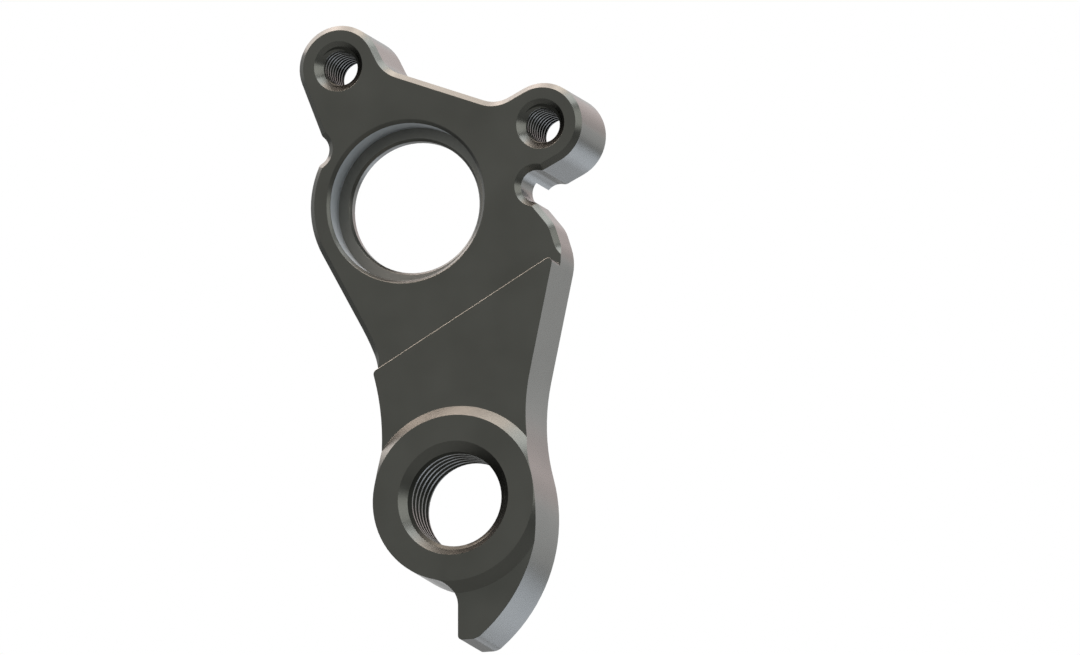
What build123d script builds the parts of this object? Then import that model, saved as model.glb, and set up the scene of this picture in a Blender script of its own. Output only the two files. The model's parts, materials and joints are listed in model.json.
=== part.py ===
"""Bicycle derailleur hanger, milled from one piece of aluminium, in millimetres.

X runs rearward, Y outward from the wheel to the frame, Z up. The origin is the
axle centre, on the frame-side face of the plate.
"""

from build123d import *
from math import cos, radians, sin, sqrt
import os

os.makedirs("parts", exist_ok=True)

# Heights toward the wheel from the frame-side face of the plate, and of the pads behind it
plate_height = 4.1
tail_height = 6.6
boss_height = 7.6
pad_height = 3.8

# Axle hole with the recess that takes the end of the hub
recess_radius = 7.6
recess_depth = 2.9
recess_chamfer = 0.3
axle_radius = 6.35
axle_chamfer = 0.25

# Two frame bolts, M4 x 0.7, a quarter turn apart round the axle
bolt_reach = 15.0
rear_bolt_angle = 26.57
front_bolt_angle = rear_bolt_angle + 90.0
bolt_drill_radius = 1.65
bolt_sink_radius = 2.4
lobe_radius = 4.0

# Derailleur thread, M10 x 1, in a boss that stands proud of the tail
thread_x = 5.85
thread_z = -29.6
thread_drill_radius = 4.5
thread_sink_radius = 5.5
boss_radius = 8.0
boss_flare = boss_height - tail_height

# Outline round the plate. A side's angle is the way it faces, and its distance is from the axle
ring_radius = 9.6
top_angle = 69.85
top_distance = 11.43
lobe_root_radius = 3.0
front_side_angle = 201.2
relief_radius = 1.55
rear_relief_angle = 3.55
rear_relief_reach = 12.905
front_relief_angle = 149.3
front_relief_reach = 10.81
relief_corner = 0.6
under_relief_angle = 39.2
under_relief_distance = 9.47
rear_side_angle = 17.6
rear_side_distance = 13.08
rear_brow_radius = 3.0
shoulder_radius = 5.0

# Outline of the tail. The waist behind it and the toe keep their place from the thread
tail_side_angle = -11.9
tail_side_distance = 16.53
waist_rise = 12.03
waist_radius = 20.0
waist_sweep_angle = 27.0
toe_offset = 0.17
toe_width = 1.85
toe_drop = 13.55
toe_front_corner = 0.4
toe_rear_corner = 1.4
toe_root_radius = 2.5
front_run_angle = 208.4
front_waist_radius = 24.0

# Step from the plate to the thicker tail
step_angle = 120.0
step_distance = -13.3
step_front_corner = 0.5
step_rear_corner = 0.4

# Chamfer round the plate, left by a conical cutter that stops short of the step
edge_chamfer = 0.5
cutter_radius = 2.5
front_stop_angle = 22.0

# Pads behind the lobes, cleared by a bore round the axle
pad_clearance = 11.85

far = 80.0
from_face = (Align.CENTER, Align.CENTER, Align.MIN)


def toward(angle, reach):
    """Point at this reach from the axle, in the direction of the angle."""
    return Vector(reach * cos(radians(angle)), reach * sin(radians(angle)))


def crossing(first_angle, first_distance, second_angle, second_distance):
    """Corner of two straight sides."""
    first = toward(first_angle, 1)
    second = toward(second_angle, 1)
    turn = first.X * second.Y - first.Y * second.X
    x = (first_distance * second.Y - second_distance * first.Y) / turn
    z = (second_distance * first.X - first_distance * second.X) / turn
    return Vector(x, z)


def foot(point, angle, distance):
    """Nearest point of a straight side to a given point."""
    normal = toward(angle, 1)
    return point + normal * (distance - normal.dot(point))


rear_bolt = toward(rear_bolt_angle, bolt_reach)
front_bolt = toward(front_bolt_angle, bolt_reach)
thread_centre = Vector(thread_x, thread_z)
rear_relief = toward(rear_relief_angle, rear_relief_reach)
front_relief = toward(front_relief_angle, front_relief_reach)

# Sides of the lobes run along the line from the axle to the bolt
front_root = crossing(rear_bolt_angle, lobe_radius, top_angle, top_distance)
rear_root = crossing(front_bolt_angle, lobe_radius, top_angle, top_distance)
front_side_distance = toward(front_side_angle, 1).dot(front_bolt) + lobe_radius
brow = crossing(under_relief_angle, under_relief_distance, rear_side_angle, rear_side_distance)
shoulder = crossing(rear_side_angle, rear_side_distance, tail_side_angle, tail_side_distance)
tail_side_down = toward(tail_side_angle - 90, 1)
tail_side_fall = (thread_z + waist_rise - shoulder.Y) / tail_side_down.Y
tail_side_end = shoulder + tail_side_down * tail_side_fall

toe_front = thread_centre + Vector(toe_offset, -toe_drop)
toe_rear = toe_front + Vector(toe_width, 0)
toe_root = thread_centre + Vector(toe_offset, -boss_radius)
front_meeting = foot(thread_centre, front_run_angle, ring_radius)
front_meeting += toward(front_run_angle - 90, boss_radius)

with BuildSketch() as outline:
    with BuildLine() as edge:
        waist = JernArc(tail_side_end, tail_side_down, waist_radius, waist_sweep_angle)
        heel = TangentArc(waist @ 1, toe_rear, tangent=waist % 1)
        Polyline(
            toe_rear,
            toe_front,
            thread_centre + Vector(toe_offset, 0),
            foot(thread_centre, front_run_angle, ring_radius),
            toward(front_run_angle, ring_radius),
            (0, 0),
            toward(front_relief_angle, ring_radius),
            foot(front_relief, front_side_angle, front_side_distance),
            front_bolt + toward(front_side_angle, lobe_radius),
            front_bolt + toward(rear_bolt_angle, lobe_radius),
            front_root,
            rear_root,
            rear_bolt + toward(front_bolt_angle, lobe_radius),
            rear_bolt + toward(front_bolt_angle + 180, lobe_radius),
            foot(rear_relief, front_bolt_angle + 180, lobe_radius),
            foot(rear_relief, under_relief_angle, under_relief_distance),
            brow,
            shoulder,
            tail_side_end,
        )
    make_face()
    Circle(ring_radius)
    with Locations(front_bolt, rear_bolt):
        Circle(lobe_radius)
    with Locations(thread_centre):
        Circle(boss_radius)
    fillet(outline.vertices().sort_by_distance(front_root)[0], lobe_root_radius)
    fillet(outline.vertices().sort_by_distance(rear_root)[0], lobe_root_radius)
    fillet(outline.vertices().sort_by_distance(shoulder)[0], shoulder_radius)
    fillet(outline.vertices().sort_by_distance(brow)[0], rear_brow_radius)
    fillet(outline.vertices().sort_by_distance(toe_rear)[0], toe_rear_corner)
    fillet(outline.vertices().sort_by_distance(toe_front)[0], toe_front_corner)
    fillet(outline.vertices().sort_by_distance(toe_root)[0], toe_root_radius)
    fillet(outline.vertices().sort_by_distance(front_meeting)[0], front_waist_radius)
    with Locations(rear_relief, front_relief):
        Circle(relief_radius, mode=Mode.SUBTRACT)
    for relief in (rear_relief, front_relief):
        corners = outline.vertices().sort_by_distance(relief)[0:2]
        fillet(corners, relief_corner)

# The step cuts the outline in two, and the proud face of the tail has rounded ends
step_middle = toward(step_angle, step_distance)
across_step = Location((step_middle.X, step_middle.Y, 0), (0, 0, step_angle))
with BuildSketch() as plate_outline:
    add(outline.sketch)
    with Locations(across_step):
        Rectangle(far, 2 * far, align=(Align.MAX, Align.CENTER), mode=Mode.SUBTRACT)
with BuildSketch() as tail_outline:
    add(outline.sketch)
    with Locations(across_step):
        Rectangle(far, 2 * far, align=(Align.MIN, Align.CENTER), mode=Mode.SUBTRACT)
with BuildSketch() as tail_face:
    add(tail_outline.sketch)
    step_ends = tail_face.vertices().sort_by(Axis((0, 0, 0), toward(step_angle, 1)))[-2:]
    front_end, rear_end = step_ends.sort_by(Axis.X)
    fillet(rear_end, step_rear_corner)
    fillet(tail_face.vertices().sort_by_distance(front_end)[0], step_front_corner)

# Pads behind the lobes, outside the bore that clears the axle
with BuildSketch() as pad_outline:
    add(plate_outline.sketch)
    Circle(pad_clearance, mode=Mode.SUBTRACT)
    with Locations(rear_relief):
        Rectangle(far, far, align=(Align.CENTER, Align.MAX), mode=Mode.SUBTRACT)

frame_side = Plane.XZ
wheel_side = frame_side.offset(plate_height)

with BuildPart() as plate:
    with BuildSketch(frame_side):
        add(plate_outline.sketch)
    extrude(amount=plate_height)
    rim = plate.faces().sort_by(Axis.Y)[0].outer_wire().edges()
    chamfer(rim.sort_by(SortBy.LENGTH)[:-1], edge_chamfer)
    with BuildSketch(frame_side):
        add(tail_outline.sketch)
    extrude(amount=plate_height)

# The cutter stopped where the straight side behind the axle ends, and part of the
# way down the waist ahead of the axle. The edge is full below each stop.
shoulder_centre = crossing(
    rear_side_angle, rear_side_distance - shoulder_radius,
    tail_side_angle, tail_side_distance - shoulder_radius,
)
rear_stop = foot(shoulder_centre, rear_side_angle, rear_side_distance)
run_normal = toward(front_run_angle, 1)
run_rise = toward(front_run_angle - 90, 1)
waist_reach = ring_radius + front_waist_radius
waist_gap = run_normal.dot(thread_centre) - waist_reach
waist_lift = sqrt((boss_radius + front_waist_radius) ** 2 - waist_gap**2)
waist_centre = run_normal * waist_reach + run_rise * (run_rise.dot(thread_centre) + waist_lift)
front_stop = waist_centre + toward(front_stop_angle, front_waist_radius)
stops = (
    (rear_stop, rear_side_angle, Align.MAX),
    (front_stop, front_stop_angle + 180, Align.MIN),
)

with BuildPart() as kept_edge:
    with BuildSketch(wheel_side.offset(-edge_chamfer)):
        for stop, angle, below in stops:
            with Locations(Location((stop.X, stop.Y, 0), (0, 0, angle))):
                Rectangle(2 * cutter_radius, 2 * cutter_radius, align=(Align.CENTER, below))
        add(outline.sketch, mode=Mode.INTERSECT)
    extrude(amount=edge_chamfer)
    for stop, angle, below in stops:
        cutter = stop + toward(angle, cutter_radius - edge_chamfer)
        with Locations(Location((cutter.X, -plate_height, cutter.Y), (-90, 0, 0))):
            Cone(
                cutter_radius,
                cutter_radius - edge_chamfer,
                edge_chamfer,
                align=from_face,
                mode=Mode.SUBTRACT,
            )

with BuildPart() as boss:
    with BuildSketch(frame_side):
        add(outline.sketch)
    extrude(amount=boss_height)
    with Locations(Location((thread_x, -tail_height, thread_z), (90, 0, 0))):
        Cone(
            boss_radius + boss_flare,
            boss_radius,
            boss_flare,
            align=from_face,
            mode=Mode.INTERSECT,
        )

with BuildPart() as hanger:
    add(plate.part)
    add(kept_edge.part)
    with BuildSketch(wheel_side):
        add(tail_face.sketch)
    extrude(amount=tail_height - plate_height)
    add(boss.part)
    with BuildSketch(frame_side.offset(-pad_height)):
        add(pad_outline.sketch)
    extrude(amount=pad_height)

    # Stepped axle hole, recess first
    with Locations(wheel_side):
        CounterBoreHole(axle_radius, recess_radius, recess_depth)
    with Locations(wheel_side):
        CounterSinkHole(recess_radius, recess_radius + recess_chamfer, recess_depth)
    with Locations(wheel_side.offset(-recess_depth)):
        CounterSinkHole(axle_radius, axle_radius + axle_chamfer)

    # Frame bolt holes and the derailleur thread, drilled through and sunk at both ends
    for x, z, drill, sink, near_side, far_side in (
        (rear_bolt.X, rear_bolt.Y, bolt_drill_radius, bolt_sink_radius, -plate_height, pad_height),
        (front_bolt.X, front_bolt.Y, bolt_drill_radius, bolt_sink_radius, -plate_height, pad_height),
        (thread_x, thread_z, thread_drill_radius, thread_sink_radius, -boss_height, 0),
    ):
        with Locations(Location((x, near_side, z), (-90, 0, 0))):
            Cylinder(drill, far_side - near_side, align=from_face, mode=Mode.SUBTRACT)
            Cone(sink, drill, sink - drill, align=from_face, mode=Mode.SUBTRACT)
        with Locations(Location((x, far_side, z), (90, 0, 0))):
            Cone(sink, drill, sink - drill, align=from_face, mode=Mode.SUBTRACT)

hanger.part.label = "hanger"
export_step(hanger.part, "parts/hanger.step")
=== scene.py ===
import json
from math import cos, pi, radians, sin, tan

import bmesh
import bpy
from mathutils import Matrix, Vector


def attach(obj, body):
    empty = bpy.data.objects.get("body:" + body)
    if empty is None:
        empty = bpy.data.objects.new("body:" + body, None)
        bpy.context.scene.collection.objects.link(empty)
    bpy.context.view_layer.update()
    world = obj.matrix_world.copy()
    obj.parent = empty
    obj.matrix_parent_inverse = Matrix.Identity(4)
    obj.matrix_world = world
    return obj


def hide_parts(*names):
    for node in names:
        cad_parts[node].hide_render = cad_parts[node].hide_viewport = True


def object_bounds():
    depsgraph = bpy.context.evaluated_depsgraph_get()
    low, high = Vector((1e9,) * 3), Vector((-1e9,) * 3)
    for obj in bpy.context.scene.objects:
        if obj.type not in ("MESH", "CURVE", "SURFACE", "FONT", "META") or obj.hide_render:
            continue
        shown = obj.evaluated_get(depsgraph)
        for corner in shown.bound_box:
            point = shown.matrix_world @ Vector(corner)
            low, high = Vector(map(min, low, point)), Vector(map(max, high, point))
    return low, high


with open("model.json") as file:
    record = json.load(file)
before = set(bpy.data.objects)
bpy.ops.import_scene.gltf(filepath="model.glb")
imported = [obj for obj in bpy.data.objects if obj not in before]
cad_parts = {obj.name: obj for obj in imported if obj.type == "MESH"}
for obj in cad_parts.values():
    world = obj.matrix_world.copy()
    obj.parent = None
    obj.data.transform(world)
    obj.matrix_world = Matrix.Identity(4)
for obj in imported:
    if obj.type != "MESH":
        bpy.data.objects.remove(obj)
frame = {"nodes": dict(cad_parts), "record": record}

# Bicycle derailleur hanger, milled from one plate of aluminium and anodised dark grey.
# X runs rearward, Y outward from the wheel to the frame, Z up, all in metres.

mm = 0.001
cad_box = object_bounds()
seats = {seat["name"]: Vector(seat["pos_m"]) for seat in frame["record"]["mounts"]}

# Levels along Y of the faces that look at the wheel
tail_face = -6.6 * mm
boss_face = -7.6 * mm
recess_floor = -1.2 * mm

# Radii within which each turned, bored or tapped form lies
boss_flank = 9.05 * mm
derailleur_sink = 5.6 * mm
derailleur_crest = 5.01 * mm
recess_mouth = 7.95 * mm
axle_mouth = 6.65 * mm
bolt_sink = 2.45 * mm


def linear(hex_colour):
    """sRGB hex colour as linear red, green, blue and alpha."""
    channels = [int(hex_colour[i:i + 2], 16) / 255 for i in (1, 3, 5)]
    return [c / 12.92 if c <= 0.04045 else ((c + 0.055) / 1.055) ** 2.4 for c in channels] + [1.0]


white = linear("#ffffff")


def add_node(tree, kind, settings=(), inputs=(), links=()):
    """Adds a node with its settings and socket values, and links (output, socket) pairs in."""
    node = tree.nodes.new(kind)
    for name, value in dict(settings).items():
        setattr(node, name, value)
    for socket, value in dict(inputs).items():
        node.inputs[socket].default_value = value
    for output, socket in links:
        tree.links.new(output, node.inputs[socket])
    return node


# Anodised aluminium

def anodised_aluminium(name, roughness, tool_marks, pale="#494a46", deep="#434440", edge_break=0):
    """Aluminium 7075, milled, bead blasted fine and anodised dark grey.

    The blasting leaves a satin face that mirrors soft light as a smooth sheen, and the dye in
    the oxide varies by a few percent between pale and deep. For some finishes pale and deep are
    also darkened or lightened as painted shade or painted light. tool_marks adds what the cutter
    left under it.
    """
    finish = bpy.data.materials.new(name)
    finish.use_nodes = True
    tree = finish.node_tree
    tree.nodes.clear()
    place = add_node(tree, "ShaderNodeTexCoord")

    # Dye: soft clouds about 6 mm across
    dye = add_node(
        tree, "ShaderNodeTexNoise",
        inputs={"Scale": 1 / (6 * mm), "Detail": 2.0, "Roughness": 0.5},
        links=[(place.outputs["Object"], "Vector")],
    )
    colour = add_node(tree, "ShaderNodeValToRGB", links=[(dye.outputs["Fac"], "Fac")])
    colour.color_ramp.elements[0].position = 0.3
    colour.color_ramp.elements[0].color = linear(deep)
    colour.color_ramp.elements[1].position = 0.7
    colour.color_ramp.elements[1].color = linear(pale)

    # Blasted grain: beads of 0.1 mm leave pits about 0.15 mm apart, which give the satin sheen
    grain = add_node(
        tree, "ShaderNodeTexNoise",
        inputs={"Scale": 1 / (0.15 * mm), "Detail": 1.0},
        links=[(place.outputs["Object"], "Vector")],
    )
    sheen = add_node(
        tree, "ShaderNodeMapRange",
        inputs={"To Min": roughness - 0.03, "To Max": roughness + 0.03},
        links=[(grain.outputs["Fac"], "Value")],
    )
    pits = add_node(
        tree, "ShaderNodeBump",
        inputs={"Strength": 0.01, "Distance": 0.01 * mm},
        links=[(grain.outputs["Fac"], "Height")],
    )
    if edge_break:
        # Sharp corners are broken before blasting and catch a thin line of light
        broken = add_node(tree, "ShaderNodeBevel", {"samples": 12}, {"Radius": edge_break})
        tree.links.new(broken.outputs["Normal"], pits.inputs["Normal"])
    marks = tool_marks(tree, place, pits)
    metal = add_node(
        tree, "ShaderNodeBsdfPrincipled",
        inputs={"Metallic": 1.0},
        links=[
            (colour.outputs["Color"], "Base Color"),
            (sheen.outputs["Result"], "Roughness"),
            (marks.outputs["Normal"], "Normal"),
        ],
    )
    add_node(tree, "ShaderNodeOutputMaterial", links=[(metal.outputs["BSDF"], "Surface")])
    return finish


def no_marks(tree, place, under):
    """Blasted faces and thread flanks keep no cutter marks large enough to see."""
    return under


def wall_milling(tree, place, under):
    """The side of an end mill leaves faint flute lines along Y, about 0.25 mm apart."""
    along = add_node(
        tree, "ShaderNodeMapping",
        inputs={"Scale": (1.0, 0.03, 1.0)},
        links=[(place.outputs["Object"], "Vector")],
    )
    lines = add_node(
        tree, "ShaderNodeTexNoise",
        inputs={"Scale": 1 / (0.25 * mm), "Detail": 1.0},
        links=[(along.outputs["Vector"], "Vector")],
    )
    return add_node(
        tree, "ShaderNodeBump",
        inputs={"Strength": 0.02, "Distance": 0.01 * mm},
        links=[(lines.outputs["Fac"], "Height"), (under.outputs["Normal"], "Normal")],
    )


def bored_rings(centre):
    """A boring head leaves fine rings round the hole, about 0.12 mm apart."""

    def rings(tree, place, under):
        round_hole = add_node(
            tree, "ShaderNodeMapping",
            inputs={"Location": (-centre.x, 0.0, -centre.z)},
            links=[(place.outputs["Object"], "Vector")],
        )
        feed = add_node(
            tree, "ShaderNodeTexWave",
            {"wave_type": "RINGS", "rings_direction": "Y"},
            {"Scale": 0.31 / (0.12 * mm), "Distortion": 0.4, "Detail": 1.0, "Detail Scale": 0.05},
            [(round_hole.outputs["Vector"], "Vector")],
        )
        return add_node(
            tree, "ShaderNodeBump",
            inputs={"Strength": 0.012, "Distance": 0.01 * mm},
            links=[(feed.outputs["Fac"], "Height"), (under.outputs["Normal"], "Normal")],
        )

    return rings


# Hanger body

def tap(name, centre, major_radius, drill_radius, pitch, start, end):
    """A tap's closed 60 degree thread along Y, right-handed, from start to end.

    Its core stays inside the drilled hole, so that only the thread's ridge cuts.
    """
    columns = 96
    root_flat = pitch / 8
    core = drill_radius - 0.15 * mm
    flank = (major_radius - core) * tan(radians(30))
    crest = (
        (0.0, core),
        (flank, major_radius),
        (flank + root_flat, major_radius),
        (2 * flank + root_flat, core),
    )
    turns = int((end - start) / pitch) + 1
    shape = bmesh.new()
    grid = []
    for column in range(columns):
        turn = column / columns
        angle = 2 * pi * turn
        line = []
        for thread in range(turns):
            for rise, radius in crest:
                y = start + pitch * (thread + turn) + rise
                spot = (centre.x + radius * cos(angle), y, centre.z - radius * sin(angle))
                line.append(shape.verts.new(spot))
        grid.append(line)
    rows = len(crest) * turns
    for column in range(columns - 1):
        for row in range(rows - 1):
            shape.faces.new((
                grid[column][row], grid[column][row + 1],
                grid[column + 1][row + 1], grid[column + 1][row],
            ))
    step = len(crest)
    for row in range(rows - 1 - step):
        shape.faces.new((
            grid[-1][row], grid[-1][row + 1],
            grid[0][row + 1 + step], grid[0][row + step],
        ))
    # Both ends close in a point on the axis, outside the blank
    bottom = [grid[0][row] for row in range(step, 0, -1)] + [line[0] for line in grid]
    last_turn = range(rows - 2, rows - 2 - step, -1)
    top = [line[-1] for line in grid] + [grid[-1][row] for row in last_turn]
    for loop, y in ((bottom, start - pitch), (top, end + 2 * pitch)):
        tip = shape.verts.new((centre.x, y, centre.z))
        for one, two in zip(loop, loop[1:] + loop[:1]):
            shape.faces.new((one, two, tip))
    bmesh.ops.recalc_face_normals(shape, faces=shape.faces)
    mesh = bpy.data.meshes.new(name)
    shape.to_mesh(mesh)
    shape.free()
    tool = bpy.data.objects.new(name, mesh)
    bpy.context.collection.objects.link(tool)
    return tool


def cut(blank, tool):
    """Cuts the tool's form out of the blank and puts the tool away."""
    step = blank.modifiers.new("cut", "BOOLEAN")
    step.operation = "DIFFERENCE"
    step.solver = "EXACT"
    step.object = tool
    layers = bpy.context.evaluated_depsgraph_get()
    mesh = bpy.data.meshes.new_from_object(blank.evaluated_get(layers))
    blank.modifiers.clear()
    blank.data = mesh
    bpy.data.objects.remove(tool)


# The body starts from the CAD's mesh, welded, with plain shading
cad_hanger = frame["nodes"]["hanger"]
blank = bmesh.new()
blank.from_mesh(cad_hanger.data)
bmesh.ops.remove_doubles(blank, verts=blank.verts, dist=0.0005 * mm)
bare = bpy.data.meshes.new("hanger_body")
blank.to_mesh(bare)
blank.free()
for layer in ("custom_normal", "sharp_face"):
    if layer in bare.attributes:
        bare.attributes.remove(bare.attributes[layer])
body = bpy.data.objects.new("hanger_body", bare)
bpy.context.collection.objects.link(body)

derailleur_hole = seats["derailleur_thread"]
bolt_holes = (seats["rear_bolt_thread"], seats["front_bolt_thread"])
m10 = {"major_radius": 5.0 * mm, "drill_radius": 4.5 * mm, "pitch": 1.0 * mm}
m4 = {"major_radius": 2.0 * mm, "drill_radius": 1.65 * mm, "pitch": 0.7 * mm}
cut(body, tap("derailleur_tap", derailleur_hole, start=-9.6 * mm, end=1.4 * mm, **m10))
for number, hole in enumerate(bolt_holes):
    cut(body, tap(f"bolt_tap_{number}", hole, start=-5.2 * mm, end=4.6 * mm, **m4))


# Finishes on the body

FACES, WALLS, RECESS_FLOOR_PAINTED_LIGHT, RECESS_WALL_PAINTED_LIGHT, BOSS, THREAD_PAINTED_SHADE = range(6)
axle_rings = bored_rings(Vector())
boss_rings = bored_rings(derailleur_hole)
body.data.materials.clear()
for finish in (
    anodised_aluminium("anodised_aluminium_blasted", 0.3, no_marks, edge_break=0.12 * mm),
    anodised_aluminium("anodised_aluminium_milled", 0.27, wall_milling),
    # Painted light: the recess floor's dye is lighter than the faces' to make up for the shade
    # the recess wall casts on it
    anodised_aluminium("anodised_aluminium_bored_painted_light", 0.55, axle_rings, "#686965", "#62635f"),
    # Painted light: the recess wall is coloured pale so that it reads bright despite the shade
    # inside the recess
    anodised_aluminium("aluminium_reamed_painted_light", 0.7, axle_rings, "#9fa5a8", "#979da0"),
    anodised_aluminium("anodised_aluminium_turned", 0.3, boss_rings),
    # Painted shade: the thread's dye is darkened to stand in for the shade that the flanks cast
    # on each other
    anodised_aluminium("anodised_aluminium_tapped_painted_shade", 0.3, no_marks, "#2a2b28", "#262724"),
):
    body.data.materials.append(finish)


def from_axis(spot, centre):
    """Distance of a spot from the hole's axis, which runs along Y."""
    return Vector((spot.x - centre.x, spot.z - centre.z)).length


def finish_of(face):
    """Which finish a face of the hanger carries, by what cut it. The thread's finish carries
    painted shade, and the recess floor's and recess wall's finishes carry painted light.
    """
    spot = face.center
    turned_to_wheel = abs(face.normal.y)  # 1 for flat faces, 0 for walls, 0.7 for sinks
    same_level = 0.01 * mm
    if turned_to_wheel > 0.99:
        if abs(spot.y - recess_floor) < same_level:
            return RECESS_FLOOR_PAINTED_LIGHT
        return BOSS if abs(spot.y - boss_face) < same_level else FACES
    sunk = 0.6 < turned_to_wheel < 0.8  # 45 degree sinks, and not the 60 degree threads
    if any(from_axis(spot, hole) < bolt_sink for hole in bolt_holes):
        return WALLS if sunk else THREAD_PAINTED_SHADE
    from_thread = from_axis(spot, derailleur_hole)
    if from_thread < derailleur_crest and not sunk:
        return THREAD_PAINTED_SHADE
    if from_thread < boss_flank and (spot.y < tail_face or from_thread < derailleur_sink):
        return BOSS
    from_axle = from_axis(spot, Vector())
    if from_axle < recess_mouth:
        return RECESS_WALL_PAINTED_LIGHT if from_axle > axle_mouth and turned_to_wheel < 0.1 else FACES
    return WALLS


for face in body.data.polygons:
    face.material_index = finish_of(face)
    face.use_smooth = True
sharpest_smooth_bend = radians(36)
body.data.set_sharp_from_angle(angle=sharpest_smooth_bend)
even = body.modifiers.new("even_normals", "WEIGHTED_NORMAL")
even.keep_sharp = True
even.weight = 100

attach(body, "root")
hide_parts("hanger")


# Floor, light and camera

def seen_rays(tree):
    """1 for what the camera sees, straight, mirrored in metal or through glass."""
    ray = add_node(tree, "ShaderNodeLightPath")
    seen = ray.outputs["Is Camera Ray"]
    for kind in ("Is Glossy Ray", "Is Transmission Ray"):
        either = add_node(
            tree, "ShaderNodeMath", {"operation": "MAXIMUM"},
            links=[(seen, 0), (ray.outputs[kind], 1)],
        )
        seen = either.outputs["Value"]
    return seen


def pale_floor_paint():
    """Matt pale floor. Part of its paleness is its own, so that it stays pale far from the lamps,
    and the rest is lit, so that it keeps the hanger's shadow."""
    paint = bpy.data.materials.new("pale_floor_paint")
    paint.use_nodes = True
    tree = paint.node_tree
    tree.nodes.clear()
    matt = add_node(
        tree, "ShaderNodeBsdfDiffuse",
        inputs={"Color": linear("#82888a"), "Roughness": 0.5},
    )
    own_paleness = add_node(
        tree, "ShaderNodeMath", {"operation": "MULTIPLY"}, {1: 0.36}, [(seen_rays(tree), 0)],
    )
    plain = add_node(
        tree, "ShaderNodeEmission",
        inputs={"Color": white},
        links=[(own_paleness.outputs["Value"], "Strength")],
    )
    both = add_node(
        tree, "ShaderNodeAddShader",
        links=[(matt.outputs["BSDF"], 0), (plain.outputs["Emission"], 1)],
    )
    add_node(tree, "ShaderNodeOutputMaterial", links=[(both.outputs["Shader"], "Surface")])
    return paint


floor_level = -300 * mm
bpy.ops.mesh.primitive_plane_add(size=12, location=(0, 0, floor_level))
floor = bpy.context.object
floor.name = "studio_floor"
floor.data.materials.append(pale_floor_paint())

# The room lights the hanger softly, and is white where it is seen or mirrored
studio = bpy.data.worlds.new("studio")
bpy.context.scene.world = studio
studio.use_nodes = True
sky = studio.node_tree
sky.nodes.clear()
room = add_node(sky, "ShaderNodeBackground", inputs={"Color": white, "Strength": 0.4})
backdrop = add_node(sky, "ShaderNodeBackground", inputs={"Color": white, "Strength": 1.0})
either = add_node(
    sky, "ShaderNodeMixShader",
    links=[
        (seen_rays(sky), 0),
        (room.outputs["Background"], 1),
        (backdrop.outputs["Background"], 2),
    ],
)
add_node(sky, "ShaderNodeOutputWorld", links=[(either.outputs["Shader"], "Surface")])

middle = (Vector(cad_box[0]) + Vector(cad_box[1])) / 2
lamp_distance = 0.6


def soft_box(name, toward, width, height, brightness, colour):
    """Soft box in that direction from the hanger, facing it, this bright over its face."""
    lamp = bpy.data.lights.new(name, "AREA")
    lamp.shape = "RECTANGLE"
    lamp.size = width
    lamp.size_y = height
    lamp.energy = brightness * pi * width * height
    lamp.color = linear(colour)[:3]
    box = bpy.data.objects.new(name, lamp)
    direction = Vector(toward).normalized()
    box.location = middle + direction * lamp_distance
    box.rotation_euler = direction.to_track_quat("Z", "Y").to_euler()
    box.visible_camera = False
    bpy.context.collection.objects.link(box)


# Warm boxes above give the chamfers and the boss's cone their beige edge light
soft_box("top_box", (-0.03, -0.03, 1.0), 0.92, 0.30, 6.0, "#ffece8")
soft_box("top_right_box", (0.17, -0.03, 0.98), 0.22, 0.20, 5.0, "#fff0ea")
soft_box("front_top_box", (-0.25, -0.22, 0.94), 0.50, 0.18, 14.0, "#ffe8df")
soft_box("left_front_box", (-0.61, -0.29, 0.74), 0.34, 0.18, 19.0, "#ffe8df")
soft_box("left_box", (-0.68, 0.34, 0.66), 0.24, 0.28, 4.0, "#fff0eb")
# Cooler ones to the right turn the same edges bluish there
soft_box("right_top_box", (0.52, -0.14, 0.84), 0.24, 0.24, 7.0, "#eef1f8")
soft_box("right_box", (0.90, -0.27, 0.34), 0.25, 0.38, 2.8, "#ffffff")
# Weak ones behind shade the side walls from bluish below to pinkish above
soft_box("low_back_box", (0.24, 0.93, -0.26), 0.24, 0.17, 2.1, "#eaf2ff")
soft_box("low_left_box", (-0.08, 0.93, -0.34), 0.16, 0.14, 0.9, "#eaf2ff")
soft_box("back_box", (0.36, 0.93, 0.05), 0.20, 0.20, 0.35, "#ffffff")
soft_box("high_back_box", (0.12, 0.93, 0.32), 0.28, 0.16, 0.4, "#ffc4ba")

# The hanger is seen a little from the right and from below, in parallel view
right = Vector((0.95191, 0.30637, 0.0))
back = Vector((0.30083, -0.93471, -0.18927))
up = back.cross(right)
view_centre = Vector((13.39, -4.1, -12.98)) * mm
picture_width = 1080
pixels_per_mm = 10.55
lens = bpy.data.cameras.new("camera")
lens.type = "ORTHO"
lens.ortho_scale = picture_width / pixels_per_mm * mm
lens.clip_start = 0.01
lens.clip_end = 20
camera = bpy.data.objects.new("camera", lens)
turn = Matrix((right, up, back)).transposed()
camera_distance = 0.4
camera.matrix_world = Matrix.Translation(view_centre + back * camera_distance) @ turn.to_4x4()
bpy.context.collection.objects.link(camera)
bpy.context.scene.camera = camera
bpy.context.scene.view_settings.view_transform = "Standard"
